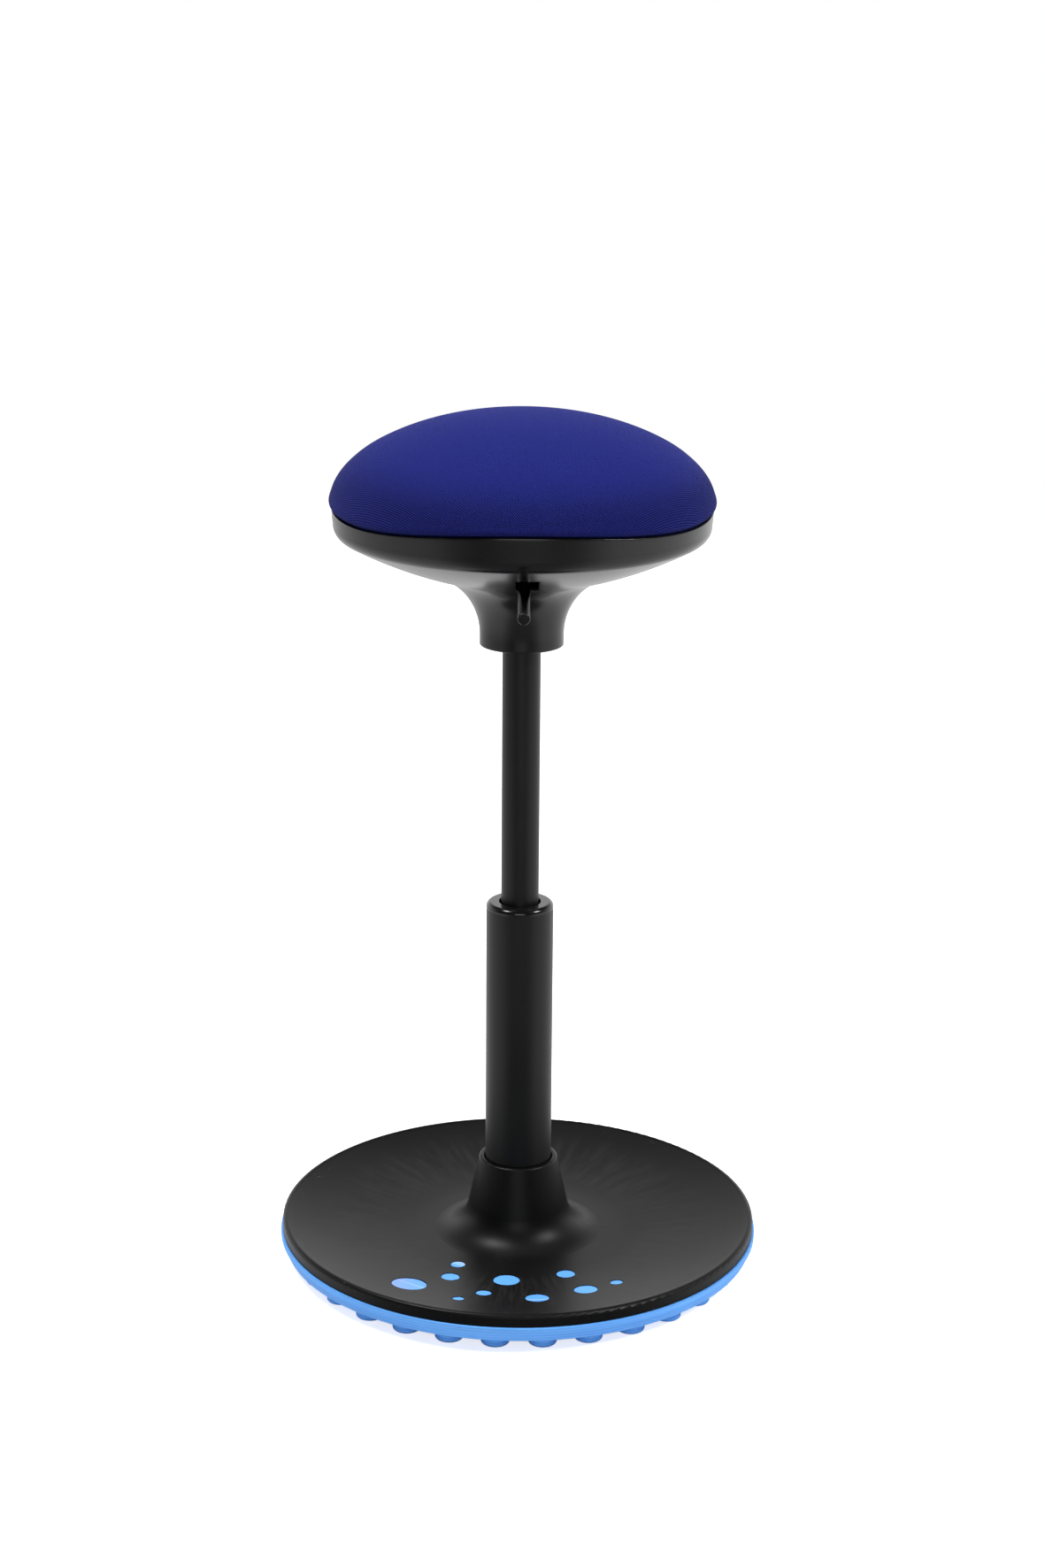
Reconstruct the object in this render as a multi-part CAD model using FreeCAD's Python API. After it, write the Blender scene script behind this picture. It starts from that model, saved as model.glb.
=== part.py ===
import FreeCAD, Part
import math
import os
from collections import namedtuple
from FreeCAD import Vector

# Height-adjustable swivel stool on a round studded foot. Millimetres, +Z up, -Y is the front,
# the origin is on the floor under the column. Shown at its full height.

# Foot: blue tread plate with studs
knob_height = 9.0
knob_radius = 10.5
knob_draft = 0.4
knob_round = 2.2
knob_pitch = 34.0
knob_edge_margin = 19.5
outer_knob_angle_deg = 6.5
tread_thickness = 3.5
tread_edge_inset = 2.7
tread_edge_round = 1.2
flange_height = 11.5
flange_band_height = 4.4
flange_step = 0.5
flange_overhang = 1.5
flange_round = 0.7
flange_width = 8.5

# Foot: black cover with its dished top, bell and collar
base_radius = 180.0
rim_round = 2.6
rim_wall = 4.0
lip_width = 3.6
lip_step = 0.4
lip_round = 0.2
cover_wall = 3.0
dish_floor_gap = 0.5
dish_low_radius = 68.0
dish_curve = 444.5
bell_foot_curve = 26.0
bell_draft_deg = 12.4
collar_wall = 3.8
collar_height = 75.5
collar_round = 1.8
collar_lip_round = 1.1
collar_lip_depth = 4.0
collar_gap = 0.7

# Foot: round windows in the cover, filled by bosses of the tread plate.
# x, y and diameter, as shares of base_radius
dot_gap = 0.3
dot_recess = 0.5
dot_shares = [
    (-0.247, -0.382, 0.059),
    (0.200, -0.470, 0.076),
    (-0.275, -0.514, 0.075),
    (-0.044, -0.535, 0.108),
    (-0.440, -0.628, 0.142),
    (0.406, -0.582, 0.050),
    (0.279, -0.649, 0.096),
    (-0.136, -0.684, 0.062),
    (0.081, -0.739, 0.096),
    (-0.237, -0.768, 0.046),
]

# Foot: steel plate, tapered socket and screws
plate_edge_gap = 0.75501
plate_thickness = 4.0
plate_ledge = 3.0
socket_wall = 3.2
socket_below_collar = 13.0
base_screw_count = 6
base_screw_margin = 6.0
base_screw_radius = 2.5
base_screw_head_radius = 4.6
base_screw_head_height = 2.8
base_screw_tip_cover = 1.6
base_screw_boss_radius = 5.5

# Column: standing tube, its cap and its guide bush
tube_radius = 25.0
tube_wall = 1.8
tube_top = 275.3
tube_floor_gap = 1.0
taper_height = 49.0
taper_drop = 1.0
cap_height = 4.7
cap_round = 3.4
cap_bore_gap = 1.6
cap_bore_round = 0.5
cap_spigot = 12.0
bush_length = 68.0

# Column: bottom end with its thrust bearing
end_plate_thickness = 3.0
race_thickness = 1.5
race_bore_gap = 0.8
race_margin = 3.5
ball_radius = 2.0
ball_offset = 4.5
ball_count = 8
cage_thickness = 1.2
cage_margin = 0.7
washer_thickness = 0.8
washer_width = 3.5
clip_thickness = 1.2
clip_width = 2.5
rod_radius = 5.0
rod_tail = 1.5
rod_collar_width = 4.0
rod_collar_height = 2.0
buffer_height = 5.0
buffer_width = 6.0
rod_neck_depth = 1.5

# Column: gas cylinder that slides in the standing tube
stroke = 190.0
stroke_reserve = 0.5
column_radius = 14.0
column_wall = 1.5
column_over_hub = 39.8
column_cap = 3.0
column_taper_height = 36.0
column_taper_drop = 0.7
rod_guide_height = 10.0
seal_height = 5.0
cylinder_gap = 1.3
cylinder_wall = 1.0
piston_height = 10.0
piston_over_seal = 6.0
piston_ring_height = 2.4
piston_ring_depth = 1.6
rod_nut_height = 3.0
rod_nut_width = 1.0
valve_height = 14.0
valve_pocket = 6.0
valve_pocket_width = 2.0
pin_radius = 4.0
pin_collar_width = 1.5
pin_collar_height = 2.2
pin_collar_lift = 3.5
pin_round = 1.0

# Seat: black shell with its hub
hub_bottom = 476.8
hub_radius = 30.6
hub_edge_round = 0.6
hub_floor = 3.0
hub_bore_gap = 1.0
flare_height = 8.0
flare_curve = 46.7
flare_turn_deg = 76.0
saucer_edge = 8.5
saucer_start_deg = 16.5
saucer_end_deg = 28.1
shell_wall = 3.0
band_radius = 136.0
band_round = 11.0
rim_flare = 1.3
rim_over_board = 9.3
rim_wave = 3.65
wave_reach_share = 1.15
wave_grid = 7
wave_cut_height = 30.0
slot_left_gap = 1.4
slot_right_gap = 6.0
slot_rise = 14.3
slot_drop = 5.1
boss_radius = 5.5
lug_inset = 15.0
lug_radius = 6.0
lug_count = 6

# Seat: steel mount, board and their fasteners
board_over_saucer = 3.0
board_gap = 6.0
board_thickness = 11.6
board_edge_round = 2.0
mount_side = 130.0
mount_corner = 20.0
mount_thickness = 2.5
mount_screw_count = 4
mount_screw_place_share = 0.4615
mount_screw_radius = 2.0
mount_screw_length = 14.0
mount_screw_head_radius = 4.8
mount_screw_head_height = 3.0
head_room = 1.2
seat_socket_wall = 6.0
seat_socket_bore_gap = 2.5
seat_socket_step = 1.0
clip_head_radius = 5.0
clip_head_height = 1.5
clip_stud_radius = 2.9
clip_stud_length = 6.0

# Seat: cushion with crown and drawn-in sides. Places on its outline are shares of belly_radius
# and of cushion_height, with the direction that the skin faces there
cushion_height = 76.7
belly_overhang = 1.4
cover_thickness = 1.2
skirt_depth = 10.0
skirt_drop = 0.8
rim_gap = 0.3
tuck_share = (0.987, 0.039)
tuck_normal_deg = -45.0
belly_share = (1.0, 0.176)
belly_normal_deg = 0.0
side_middle_share = (0.987, 0.2634)
side_middle_normal_deg = 17.0
side_share = (0.9445, 0.412)
side_normal_deg = 36.0
shoulder_share = (0.853, 0.5776)
shoulder_normal_deg = 51.0
crown_share = (0.716, 0.7288)
crown_normal_deg = 64.0

# Release lever and its pivot
lever_radius = 4.3
lever_over_column = 17.0
lever_reach = 163.0
lever_offset = 1.3
lever_tip_round = 0.9
lever_pivot_inset = 5.0
lever_tongue_width = 8.0
lever_tongue_lead = 7.0
lever_tongue_tail = 1.0
lever_pin_gap = 0.3
window_side_gap = 1.3
window_below = 2.5
window_above = 14.0
pivot_radius = 2.5
pivot_neck_radius = 1.9
pivot_head_radius = 4.2
pivot_head_height = 1.6
pivot_tail = 1.6
pivot_clip_thickness = 1.0
pivot_clip_radius = 4.4

# Shared clearances and the overrun of every cut
running_gap = 0.05
hole_gap = 0.3
ball_gap = 0.03
overrun = 1.0

UP = Vector(0, 0, 1)
SIDEWAYS = Vector(1, 0, 0)
BACKWARDS = Vector(0, 1, 0)
ORIGIN = Vector(0, 0, 0)
FULL_TURN = 360
Via = namedtuple("Via", "x z")

# Foot, worked out from the sizes above
tread_top = knob_height + tread_thickness
flange_top = knob_height + flange_height
flange_radius = base_radius + flange_overhang
knob_ring_radius = flange_radius - knob_edge_margin
dots = [tuple(share * base_radius for share in dot) for dot in dot_shares]
lip_radius = base_radius - lip_width
dish_low = tread_top + dish_floor_gap + cover_wall
dish_rise = dish_curve - math.sqrt(dish_curve ** 2 - (lip_radius - dish_low_radius) ** 2)
rim_crest = dish_low + dish_rise + lip_step
plate_top = tread_top + plate_thickness
socket_top = collar_height - socket_below_collar
foot_taper_radius = tube_radius - taper_drop
collar_bore_radius = tube_radius + collar_gap
collar_radius = collar_bore_radius + collar_wall
collar_ledge = collar_height - collar_lip_depth
cover_wall_radius = base_radius - rim_wall

# Seat shell: the flare ends in a crease, the saucer runs from there to the band
flare_start = hub_bottom + flare_height
flare_turn = math.radians(flare_turn_deg)
crease_radius = hub_radius + flare_curve * (1 - math.cos(flare_turn))
crease_height = flare_start + flare_curve * math.sin(flare_turn)
saucer_start = math.radians(saucer_start_deg)
saucer_end = math.radians(saucer_end_deg)
saucer_end_radius = band_radius - saucer_edge
saucer_curve = (saucer_end_radius - crease_radius) / (math.sin(saucer_end) - math.sin(saucer_start))
saucer_centre_radius = crease_radius - saucer_curve * math.sin(saucer_start)
saucer_centre_height = crease_height + saucer_curve * math.cos(saucer_start)
board_level = saucer_centre_height - saucer_curve * math.cos(saucer_end) + board_over_saucer
board_top = board_level + board_thickness
board_radius = band_radius - shell_wall - board_gap
lug_circle = board_radius - lug_inset
rim_level = board_top + rim_over_board
rim_radius = band_radius + rim_flare
belly_radius = rim_radius + belly_overhang
mount_bottom = board_level - mount_thickness
mount_screw_circle = mount_side * mount_screw_place_share

# Column, from its bottom up
tube_bottom = plate_top + tube_floor_gap
tube_inner = tube_radius - tube_wall
end_plate_top = tube_bottom + end_plate_thickness
ball_circle = rod_radius + ball_offset
ball_level = end_plate_top + race_thickness + ball_radius + ball_gap
race_bore_radius = rod_radius + race_bore_gap
race_radius = ball_circle + race_margin
upper_race_bottom = ball_level + ball_radius + ball_gap
rod_collar_bottom = upper_race_bottom + race_thickness
buffer_bottom = rod_collar_bottom + rod_collar_height
buffer_top = buffer_bottom + buffer_height
column_bottom = buffer_top + stroke + stroke_reserve
column_inner = column_radius - column_wall
cylinder_radius = column_inner - cylinder_gap
guide_top = column_bottom + column_wall + rod_guide_height
seal_top = guide_top + seal_height
piston_bottom = seal_top + piston_over_seal
piston_top = piston_bottom + piston_height
column_top = hub_bottom + column_over_hub
column_head = column_top - column_cap
head_taper_radius = column_radius - column_taper_drop
valve_bottom = column_head - valve_height
seat_socket_radius = column_radius + seat_socket_wall
seat_socket_bore_radius = column_radius + seat_socket_bore_gap

# Lever
lever_height = column_top + lever_over_column
lever_pivot_offset = seat_socket_radius - lever_pivot_inset
lever_tongue_start = lever_pivot_offset + lever_tongue_lead
lever_tongue_end = pin_radius + lever_tongue_tail
lever_underside = lever_height - lever_tongue_width / 2
pin_top = lever_underside - lever_pin_gap


def outline(*items):
    """Closed face in the X-Z plane. A corner is (x, z) or (x, z, rounding); a Via bends the edge it is on."""
    corners = [item for item in items if not isinstance(item, Via)]
    bends = {}
    for position, item in enumerate(items):
        if isinstance(item, Via):
            before = sum(1 for other in items[:position] if not isinstance(other, Via)) - 1
            bends[before] = Vector(item.x, 0, item.z)
    points = [Vector(corner[0], 0, corner[1]) for corner in corners]
    arrivals = []
    departures = []
    edges = []
    for index, corner in enumerate(corners):
        here = points[index]
        if len(corner) < 3:
            arrivals.append(here)
            departures.append(here)
            continue
        back = (points[index - 1] - here).normalize()
        ahead = (points[(index + 1) % len(points)] - here).normalize()
        half_angle = back.getAngle(ahead) / 2
        trim = corner[2] / math.tan(half_angle)
        rise = corner[2] / math.sin(half_angle) - corner[2]
        arrivals.append(here + back * trim)
        departures.append(here + ahead * trim)
        middle = here + (back + ahead).normalize() * rise
        edges.append(Part.Arc(arrivals[-1], middle, departures[-1]).toShape())
    for index, start in enumerate(departures):
        end = arrivals[(index + 1) % len(corners)]
        if index in bends:
            edges.append(Part.Arc(start, bends[index], end).toShape())
        else:
            edges.append(Part.LineSegment(start, end).toShape())
    return Part.Face(Part.Wire(Part.__sortEdges__(edges)))


def turned(*items):
    """Solid of revolution about the column's axis."""
    return outline(*items).revolve(ORIGIN, UP, FULL_TURN)


def ring(inner, outer, bottom, top):
    return turned((inner, bottom), (outer, bottom), (outer, top), (inner, top))


def disc(radius, bottom, top, place=ORIGIN):
    return Part.makeCylinder(radius, top - bottom, place + UP * bottom)


def rod_along_x(radius, start, end, y, z):
    return Part.makeCylinder(radius, end - start, Vector(start, y, z), SIDEWAYS)


def block(x_low, x_high, y_low, y_high, z_low, z_high):
    return Part.makeBox(x_high - x_low, y_high - y_low, z_high - z_low, Vector(x_low, y_low, z_low))


def on_circle(radius, angle_deg):
    angle = math.radians(angle_deg)
    return Vector(radius * math.cos(angle), radius * math.sin(angle), 0)


def spread(count, radius, first_deg=0):
    return [on_circle(radius, first_deg + FULL_TURN * index / count) for index in range(count)]


def save(name, shape):
    solids = shape.Solids
    if not shape.isValid() or not solids:
        raise ValueError(name + " is not a valid solid")
    kept = solids[0] if len(solids) == 1 else Part.makeCompound(solids)
    kept.exportStep("parts/" + name + ".step")
    print(name, len(solids), round(shape.Volume))


def dish_height(radius, inset=0):
    """Height of the dished top of the foot, or of a surface parallel to it and lower."""
    reach = dish_curve + inset
    return dish_low + dish_curve - math.sqrt(reach ** 2 - (radius - dish_low_radius) ** 2)


def bell_centre():
    """Centre of the curve between the collar's cone and the dish."""
    draft = math.radians(bell_draft_deg)
    down = (math.sin(draft), -math.cos(draft))
    outward = (math.cos(draft), math.sin(draft))
    reach = dish_curve - bell_foot_curve
    offset = (
        collar_radius + outward[0] * bell_foot_curve - dish_low_radius,
        collar_height + outward[1] * bell_foot_curve - dish_low - dish_curve,
    )
    half_b = offset[0] * down[0] + offset[1] * down[1]
    rest = offset[0] ** 2 + offset[1] ** 2 - reach ** 2
    along = math.sqrt(half_b ** 2 - rest) - half_b
    return (
        dish_low_radius + offset[0] + down[0] * along,
        dish_low + dish_curve + offset[1] + down[1] * along,
    )


def bell(inset):
    """Where the collar's cone, the foot's curve and the dish meet, on a skin that lies inset below."""
    draft = math.radians(bell_draft_deg)
    centre = bell_centre()
    curve = bell_foot_curve + inset
    start_angle = math.pi + draft
    end_angle = math.atan2(centre[1] - dish_low - dish_curve, centre[0] - dish_low_radius)
    end_angle %= 2 * math.pi
    middle_angle = (start_angle + end_angle) / 2
    points = [
        (centre[0] + curve * math.cos(angle), centre[1] + curve * math.sin(angle))
        for angle in (start_angle, middle_angle, end_angle)
    ]
    return points


def bell_height(radius):
    """Height of the bell's curved foot at a radius."""
    centre = bell_centre()
    return centre[1] - math.sqrt(bell_foot_curve ** 2 - (centre[0] - radius) ** 2)


def bell_inner_radius(height):
    """Radius of the bell's inner skin at a height on its curved foot."""
    centre = bell_centre()
    return centre[0] - math.sqrt((bell_foot_curve + cover_wall) ** 2 - (centre[1] - height) ** 2)


plate_radius = bell_inner_radius(plate_top) - plate_edge_gap
base_screw_circle = plate_radius - base_screw_margin


def cone_radius(height, inset):
    """Radius of the collar's cone at a height."""
    draft = math.radians(bell_draft_deg)
    return collar_radius + (collar_height - height) * math.tan(draft) - inset / math.cos(draft)


def dish_middle(radius_a, radius_b, inset=0):
    radius = (radius_a + radius_b) / 2
    return Via(radius, dish_height(radius, inset))


def cover_skin(inset):
    """Items of a skin that lies inset below the cover's top, from the collar down to the rim."""
    cone_foot, foot_bend, dish_start = bell(inset)
    return [
        (cone_radius(collar_ledge, inset), collar_ledge),
        cone_foot,
        Via(*foot_bend),
        dish_start,
        dish_middle(dish_start[0], cover_wall_radius, inset),
        (cover_wall_radius, dish_height(cover_wall_radius, inset)),
    ]


def cover_bosses():
    """Screw bosses that stand on the steel plate, with their heads inside the cover's wall."""
    inset = cover_wall / 2
    cone_foot, foot_bend, dish_start = bell(inset)
    room = turned(
        (0, tread_top),
        (0, collar_ledge),
        (cone_radius(collar_ledge, inset), collar_ledge),
        cone_foot,
        Via(*foot_bend),
        dish_start,
        (dish_start[0], tread_top),
    )
    places = spread(base_screw_count, base_screw_circle)
    return [disc(base_screw_boss_radius, plate_top, collar_ledge, place).common(room) for place in places]


def base_cover():
    cone_foot, foot_bend, dish_start = bell(0)
    shape = turned(
        (base_radius, flange_top),
        (base_radius, rim_crest, rim_round),
        (lip_radius, rim_crest, lip_round),
        (lip_radius, dish_height(lip_radius)),
        dish_middle(lip_radius, dish_start[0]),
        dish_start,
        Via(*foot_bend),
        cone_foot,
        (collar_radius, collar_height, collar_round),
        (collar_bore_radius, collar_height, collar_lip_round),
        (collar_bore_radius, collar_ledge),
        *cover_skin(cover_wall),
        (cover_wall_radius, flange_top),
    )
    shape = shape.fuse(cover_bosses()).removeSplitter()
    holes = [
        disc(diameter / 2 + dot_gap, tread_top, rim_crest, Vector(x, y, 0)) for x, y, diameter in dots
    ]
    top = screw_tip() + hole_gap
    places = spread(base_screw_count, base_screw_circle)
    holes += [disc(base_screw_radius + running_gap, tread_top, top, place) for place in places]
    return shape.cut(holes)


def screw_tip():
    return bell_height(base_screw_circle + base_screw_radius) - base_screw_tip_cover


def knob(place):
    shape = turned(
        (0, 0),
        (knob_radius, 0, knob_round),
        (knob_radius + knob_draft, knob_height + tread_thickness / 2),
        (0, knob_height + tread_thickness / 2),
    )
    return shape.translated(place)


def knobs():
    """Rings of studs from the edge inwards, as many as have room."""
    shapes = []
    rings = 1 + int((knob_ring_radius - knob_pitch / 2) / knob_pitch)
    for index in range(rings):
        radius = knob_ring_radius - index * knob_pitch
        count = round(2 * math.pi * radius / knob_pitch)
        first = outer_knob_angle_deg - FULL_TURN / 4
        shapes += [knob(place) for place in spread(count, radius, first)]
    return shapes


def base_tread():
    ridge = flange_top - flange_band_height
    plate = turned(
        (0, knob_height),
        (flange_radius - flange_step - tread_edge_inset, knob_height, tread_edge_round),
        (flange_radius - flange_step, ridge),
        (flange_radius, ridge),
        (flange_radius, flange_top, flange_round),
        (flange_radius - flange_width, flange_top),
        (flange_radius - flange_width, tread_top),
        (0, tread_top),
    )
    middle = knob_height + tread_thickness / 2
    field = turned(
        (plate_radius, middle),
        (cover_wall_radius, middle),
        (cover_wall_radius, dish_height(cover_wall_radius, dot_recess)),
        dish_middle(plate_radius, cover_wall_radius, dot_recess),
        (plate_radius, dish_height(plate_radius, dot_recess)),
    )
    bosses = [
        disc(diameter / 2, knob_height, rim_crest, Vector(x, y, 0)).common(field)
        for x, y, diameter in dots
    ]
    shape = plate.fuse(knobs() + bosses).removeSplitter()
    holes = []
    for place in spread(base_screw_count, base_screw_circle):
        holes.append(disc(base_screw_radius + hole_gap, knob_height - overrun, tread_top + overrun, place))
        holes.append(disc(base_screw_head_radius + hole_gap, -overrun, knob_height, place))
    return shape.cut(holes)


def base_plate():
    shape = ring(foot_taper_radius - plate_ledge, plate_radius, tread_top, plate_top)
    holes = [
        disc(base_screw_radius + hole_gap, tread_top - overrun, plate_top + overrun, place)
        for place in spread(base_screw_count, base_screw_circle)
    ]
    return shape.cut(holes)


def taper_radius(height):
    """Outer radius of the standing tube's tapered foot."""
    share = (height - tube_bottom) / taper_height
    return foot_taper_radius + taper_drop * min(share, 1)


def base_socket():
    outer = tube_radius + socket_wall
    return turned(
        (taper_radius(plate_top) + running_gap, plate_top),
        (outer, plate_top),
        (outer, socket_top),
        (taper_radius(socket_top) + running_gap, socket_top),
    )


def base_screws():
    shapes = []
    for place in spread(base_screw_count, base_screw_circle):
        head = disc(base_screw_head_radius, knob_height - base_screw_head_height, knob_height, place)
        shank = disc(base_screw_radius, knob_height, screw_tip(), place)
        shapes.append(head.fuse(shank).removeSplitter())
    return Part.makeCompound(shapes)


def standing_tube():
    return turned(
        (foot_taper_radius - tube_wall, tube_bottom),
        (foot_taper_radius, tube_bottom),
        (tube_radius, tube_bottom + taper_height),
        (tube_radius, tube_top),
        (tube_inner, tube_top),
        (tube_inner, tube_bottom + taper_height),
    )


def tube_cap():
    spigot_radius = tube_inner - running_gap
    bore = column_radius + cap_bore_gap
    return turned(
        (bore, tube_top - cap_spigot),
        (spigot_radius, tube_top - cap_spigot),
        (spigot_radius, tube_top),
        (tube_radius, tube_top),
        (tube_radius, tube_top + cap_height, cap_round),
        (bore, tube_top + cap_height, cap_bore_round),
    )


def guide_bush():
    top = tube_top - cap_spigot
    return ring(column_radius + running_gap, tube_inner - running_gap, top - bush_length, top)


def tube_end_plate():
    radius = foot_taper_radius - tube_wall - running_gap
    return ring(rod_radius + running_gap, radius, tube_bottom, end_plate_top)


def bearing_race(bottom):
    return ring(race_bore_radius, race_radius, bottom, bottom + race_thickness)


def bearing_balls():
    centres = spread(ball_count, ball_circle)
    return Part.makeCompound([Part.makeSphere(ball_radius, place + UP * ball_level) for place in centres])


def bearing_cage():
    low = ball_level - cage_thickness / 2
    high = ball_level + cage_thickness / 2
    shape = ring(race_bore_radius + cage_margin, race_radius - cage_margin, low, high)
    pockets = [
        disc(ball_radius + running_gap, low - overrun, high + overrun, place)
        for place in spread(ball_count, ball_circle)
    ]
    return shape.cut(pockets)


def piston_rod():
    clip_bottom = tube_bottom - washer_thickness - clip_thickness
    neck = rod_radius - rod_neck_depth
    collar = rod_radius + rod_collar_width
    return turned(
        (0, clip_bottom - rod_tail),
        (rod_radius, clip_bottom - rod_tail),
        (rod_radius, clip_bottom),
        (neck, clip_bottom),
        (neck, clip_bottom + clip_thickness),
        (rod_radius, clip_bottom + clip_thickness),
        (rod_radius, rod_collar_bottom),
        (collar, rod_collar_bottom),
        (collar, buffer_bottom),
        (rod_radius, buffer_bottom),
        (rod_radius, piston_top + rod_nut_height),
        (0, piston_top + rod_nut_height),
    )


def rod_clip():
    bottom = tube_bottom - washer_thickness - clip_thickness
    neck = rod_radius - rod_neck_depth
    return ring(neck + running_gap, rod_radius + clip_width, bottom, bottom + clip_thickness)


def rod_washer():
    bottom = tube_bottom - washer_thickness
    return ring(rod_radius + running_gap, rod_radius + washer_width, bottom, tube_bottom)


def rod_buffer():
    return ring(rod_radius + running_gap, rod_radius + buffer_width, buffer_bottom, buffer_top)


def piston():
    bore = cylinder_radius - cylinder_wall
    groove_low = (piston_bottom + piston_top - piston_ring_height) / 2
    groove_high = groove_low + piston_ring_height
    body = bore - running_gap
    groove = body - piston_ring_depth
    return turned(
        (rod_radius + running_gap, piston_bottom),
        (body, piston_bottom),
        (body, groove_low),
        (groove, groove_low),
        (groove, groove_high),
        (body, groove_high),
        (body, piston_top),
        (rod_radius + running_gap, piston_top),
    )


def piston_seal():
    bore = cylinder_radius - cylinder_wall
    body = bore - running_gap
    low = (piston_bottom + piston_top - piston_ring_height) / 2
    return ring(body - piston_ring_depth, body, low, low + piston_ring_height)


def rod_nut():
    outer = rod_radius + rod_nut_width
    return ring(rod_radius + running_gap, outer, piston_top, piston_top + rod_nut_height)


def gas_cylinder():
    return turned(
        (rod_radius + running_gap, column_bottom),
        (column_radius, column_bottom, column_wall / 2),
        (column_radius, column_top - column_taper_height),
        (head_taper_radius, column_top, column_wall / 2),
        (pin_radius + hole_gap, column_top),
        (pin_radius + hole_gap, column_head),
        (column_inner - column_taper_drop, column_head),
        (column_inner, column_top - column_taper_height),
        (column_inner, column_bottom + column_wall),
        (rod_radius + running_gap, column_bottom + column_wall),
    )


def rod_guide():
    bottom = column_bottom + column_wall
    return ring(rod_radius + running_gap, column_inner - running_gap, bottom, guide_top)


def rod_seal():
    return ring(rod_radius + running_gap, column_inner - running_gap, guide_top, seal_top)


def inner_cylinder():
    return ring(cylinder_radius - cylinder_wall, cylinder_radius, seal_top, valve_bottom)


def valve_body():
    radius = column_inner - column_taper_drop - running_gap
    pocket_top = valve_bottom + valve_pocket
    pocket = pin_radius + valve_pocket_width
    return turned(
        (pocket, valve_bottom),
        (radius, valve_bottom),
        (radius, column_head),
        (pin_radius + running_gap, column_head),
        (pin_radius + running_gap, pocket_top),
        (pocket, pocket_top),
    )


def release_pin():
    collar_bottom = valve_bottom + pin_collar_lift
    collar = pin_radius + pin_collar_width
    return turned(
        (0, collar_bottom),
        (collar, collar_bottom),
        (collar, collar_bottom + pin_collar_height),
        (pin_radius, collar_bottom + pin_collar_height),
        (pin_radius, pin_top, pin_round),
        (0, pin_top),
    )


def saucer_point(slope, inset):
    """Point of the saucer where it has a slope, on a skin that lies inset inside."""
    reach = saucer_curve - inset
    return saucer_centre_radius + reach * math.sin(slope), saucer_centre_height - reach * math.cos(slope)


def flare_point(turn, inset):
    """Point of the hub's flare after it has turned away from upright."""
    reach = flare_curve + inset
    return hub_radius + flare_curve - reach * math.cos(turn), flare_start + reach * math.sin(turn)


def crease_point(inset):
    """Corner between flare and saucer, on a skin that lies inset inside."""
    flare_end = math.pi / 2 - flare_turn
    facing = (saucer_start + flare_end) / 2
    reach = inset / math.cos((saucer_start - flare_end) / 2)
    return crease_radius - reach * math.sin(facing), crease_height + reach * math.cos(facing)


def saucer_radius(height):
    """How far out the shell's outer skin reaches a height, between crease and band."""
    return saucer_centre_radius + math.sqrt(saucer_curve ** 2 - (saucer_centre_height - height) ** 2)


def flare_radius(height, inset):
    """How far out the flare reaches a height, on a skin that lies inset inside."""
    reach = flare_curve + inset
    return hub_radius + flare_curve - math.sqrt(reach ** 2 - (height - flare_start) ** 2)


def seat_skin(inset):
    """Items of the shell's outline from the hub up to the rim."""
    end_radius, end_height = saucer_point(saucer_end, inset)
    low_band = band_radius - inset
    corner_height = end_height + (low_band - end_radius) * math.tan(saucer_end)
    top = rim_level + rim_wave + overrun
    return [
        flare_point(0, inset),
        Via(*flare_point(flare_turn / 2, inset)),
        crease_point(inset),
        Via(*saucer_point((saucer_start + saucer_end) / 2, inset)),
        (end_radius, end_height),
        (low_band, corner_height, band_round - inset),
        (rim_radius - inset, top),
    ]


def above_wave(lift):
    """Everything above the rim's three-lobed wave, raised by lift."""
    reach = rim_radius * wave_reach_share
    rows = []
    for row in range(wave_grid):
        y = reach * (2 * row / (wave_grid - 1) - 1)
        points = []
        for column in range(wave_grid):
            x = reach * (2 * column / (wave_grid - 1) - 1)
            wave = rim_wave * y * (3 * x ** 2 - y ** 2) / rim_radius ** 3
            points.append(Vector(x, y, rim_level + lift + wave))
        rows.append(points)
    surface = Part.BSplineSurface()
    surface.interpolate(rows)
    return surface.toShape().extrude(UP * wave_cut_height)


def shell_bosses():
    """Posts for the mount's screws and the board's clips, with their feet inside the shell's wall."""
    skin = seat_skin(shell_wall / 2)
    room = turned((0, flare_start), *skin, (0, skin[-1][1]))
    posts = [disc(boss_radius, flare_start, mount_bottom, place) for place in mount_screw_places()]
    top = board_level - clip_head_height
    posts += [disc(lug_radius, flare_start, top, place) for place in clip_places()]
    return [post.common(room) for post in posts]


def mount_screw_places():
    return spread(mount_screw_count, mount_screw_circle, FULL_TURN / mount_screw_count / 2)


def clip_places():
    return spread(lug_count, lug_circle)


def seat_shell():
    outer = seat_skin(0)
    inner = seat_skin(shell_wall)[::-1]
    bore = column_radius + hub_bore_gap
    items = [(bore, hub_bottom), (hub_radius, hub_bottom, hub_edge_round)]
    items += outer + inner
    items += [(hub_radius - shell_wall, hub_bottom + hub_floor), (bore, hub_bottom + hub_floor)]
    shape = turned(*items).fuse(shell_bosses()).removeSplitter()
    shape = shape.cut(above_wave(0))
    holes = []
    for place in mount_screw_places():
        bottom = mount_bottom - mount_screw_length
        holes.append(disc(mount_screw_radius + running_gap, bottom, mount_bottom + overrun, place))
    for place in clip_places():
        top = board_level - clip_head_height
        bottom = top - clip_stud_length
        holes.append(disc(clip_stud_radius + running_gap, bottom, top + overrun, place))
    return shape.cut(holes + [lever_slot()])


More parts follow.
